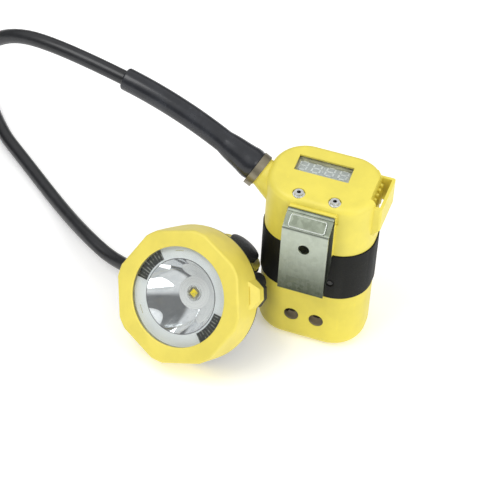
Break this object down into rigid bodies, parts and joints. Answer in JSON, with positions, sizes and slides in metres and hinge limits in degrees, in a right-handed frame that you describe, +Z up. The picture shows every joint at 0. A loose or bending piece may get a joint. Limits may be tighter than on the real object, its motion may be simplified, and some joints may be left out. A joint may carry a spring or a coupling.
{
  "type": "miner's cap lamp",
  "caption": "Miner's cap lamp: belt-worn battery pack with display, belt clip and strap loop, a flexible lead with its coil put away, and a round headpiece with a rotary switch.",
  "frame": {"origin": "centre of the battery pack's flat underside, on the surface it stands on", "axes": "X to the strap loop's side, away from the lead; Y from the belt clip's face to the plain back; Z up"},
  "size_m": [0.4212, 0.2398, 0.1531],
  "materials": {
    "cap_shell": "moulded, fine grain",
    "lower_case": "moulded",
    "case_band": "satin, stippled",
    "case_seal": "smooth",
    "band_pins": "turned",
    "display_window": "clear",
    "display_gasket": "soft",
    "display_module": "grey liquid-crystal face",
    "control_board": "solder resist",
    "board_screws": "plated",
    "battery_cells": "shrink-wrapped cell cans",
    "lower_cell_tray": "moulded",
    "upper_cell_tray": "moulded",
    "cell_tabs": "nickel strip",
    "lead_wires": "insulated wire",
    "charge_contacts": "dark plated domes",
    "contact_seals": "smooth",
    "contact_nuts": "turned",
    "clip_plate": "galvanised sheet",
    "clip_tongue": "galvanised sheet",
    "clip_screw": "plated",
    "clip_nut": "plated",
    "cable_boot": "smooth rubber",
    "boot_clamp": "galvanised band",
    "cap_washers": "bright plated",
    "cap_screws": "bright plated",
    "head_bezel": "moulded, fine grain",
    "front_lens": "clear",
    "lens_gasket": "soft",
    "flange_ring": "silver grey",
    "side_panels": "dark patterned",
    "reflector": "metallised",
    "led_board": "white resist",
    "led_package": "plated",
    "led_chip": "phosphor",
    "led_dome": "clear dome",
    "heat_sink": "turned",
    "driver_board": "solder resist",
    "shell_gasket": "soft",
    "head_shell": "moulded, fine grain",
    "helmet_hook": "black coated",
    "hook_screws": "plated",
    "lug_screw": "plated",
    "knob_collar": "moulded",
    "switch_knob": "stippled",
    "switch_shaft": "turned",
    "shaft_o_ring": "smooth",
    "rotary_switch": "moulded",
    "head_boot": "smooth rubber",
    "cord_pack_side": "smooth rubber lead",
    "cord_coil": "smooth rubber lead",
    "cord_head_side": "smooth rubber lead"
  },
  "bodies": {
    "lamp": {"cap_shell": "cap_shell", "lower_case": "lower_case", "case_band": "case_band", "case_seal": "case_seal", "band_pins": "band_pins", "display_window": "display_window", "display_gasket": "display_gasket", "display_module": "display_module", "control_board": "control_board", "board_screws": "board_screws", "battery_cells": "battery_cells", "lower_cell_tray": "lower_cell_tray", "upper_cell_tray": "upper_cell_tray", "cell_tabs": "cell_tabs", "lead_wires": "lead_wires", "charge_contacts": "charge_contacts", "contact_seals": "contact_seals", "contact_nuts": "contact_nuts", "clip_plate": "clip_plate", "clip_screw": "clip_screw", "clip_nut": "clip_nut", "cable_boot": "cable_boot", "boot_clamp": "boot_clamp", "cap_washers": "cap_washers", "cap_screws": "cap_screws", "head_bezel": "head_bezel", "front_lens": "front_lens", "lens_gasket": "lens_gasket", "flange_ring": "flange_ring", "side_panels": "side_panels", "reflector": "reflector", "led_board": "led_board", "led_package": "led_package", "led_chip": "led_chip", "led_dome": "led_dome", "heat_sink": "heat_sink", "driver_board": "driver_board", "shell_gasket": "shell_gasket", "head_shell": "head_shell", "helmet_hook": "helmet_hook", "hook_screws": "hook_screws", "lug_screw": "lug_screw", "knob_collar": "knob_collar", "shaft_o_ring": "shaft_o_ring", "rotary_switch": "rotary_switch", "head_boot": "head_boot", "cord_pack_side": "cord_pack_side", "cord_coil": "cord_coil", "cord_head_side": "cord_head_side"},
    "switch": {"switch_knob": "switch_knob", "switch_shaft": "switch_shaft"},
    "clip_leaf": {"clip_tongue": "clip_tongue"}
  },
  "joints": [
    {"name": "switch_turn", "type": "hinge", "parent": "lamp", "child": "switch", "pos_m": [-0.06163, -0.028, 0.02673], "axis": [0.4784, 0.41, 0.7766], "range_deg": [0, 90]},
    {"name": "clip_flex", "type": "hinge", "parent": "lamp", "child": "clip_leaf", "pos_m": [0, -0.02845, 0.11015], "axis": [-1, 0, 0], "range_deg": [0, 8], "stiffness_Nm_per_rad": 4}
  ]
}
